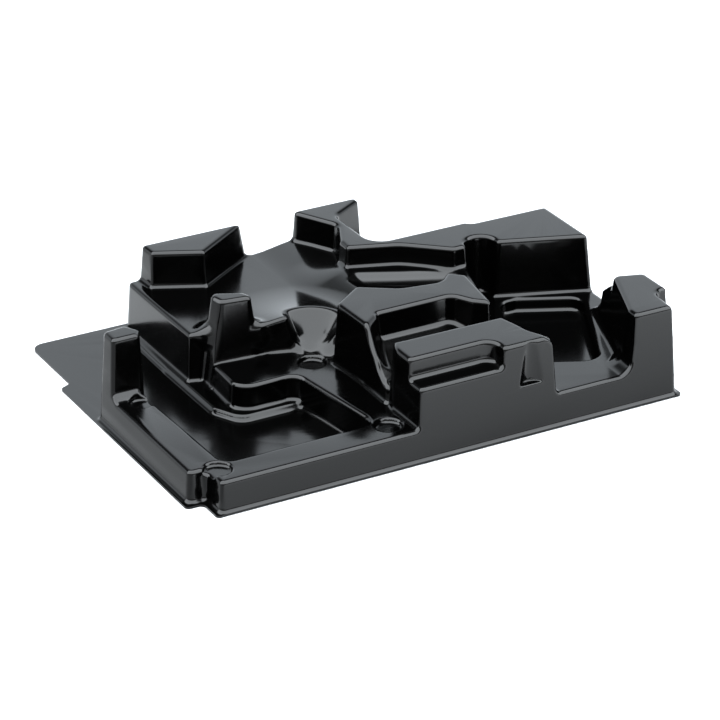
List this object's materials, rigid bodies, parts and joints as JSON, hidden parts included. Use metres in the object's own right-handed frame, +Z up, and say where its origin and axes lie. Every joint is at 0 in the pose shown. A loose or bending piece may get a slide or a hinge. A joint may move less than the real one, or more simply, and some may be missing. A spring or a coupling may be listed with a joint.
{
  "type": "tool case insert",
  "caption": "Thin formed plastic tray insert for a stacking tool case, with raised blocks and towers round shaped pockets, hollow and open underneath.",
  "frame": {"origin": "centre of the flange's rectangle, on the face that rests on the case floor", "axes": "+X along the long side, from the end with the low rim to the end with the front opening; +Y from the front wall to the back; +Z up"},
  "size_m": [0.376, 0.282, 0.0665],
  "materials": {
    "sheet": "black vacuum-formed sheet with a soft gloss"
  },
  "bodies": {
    "root": {"insert": "sheet"}
  },
  "joints": []
}
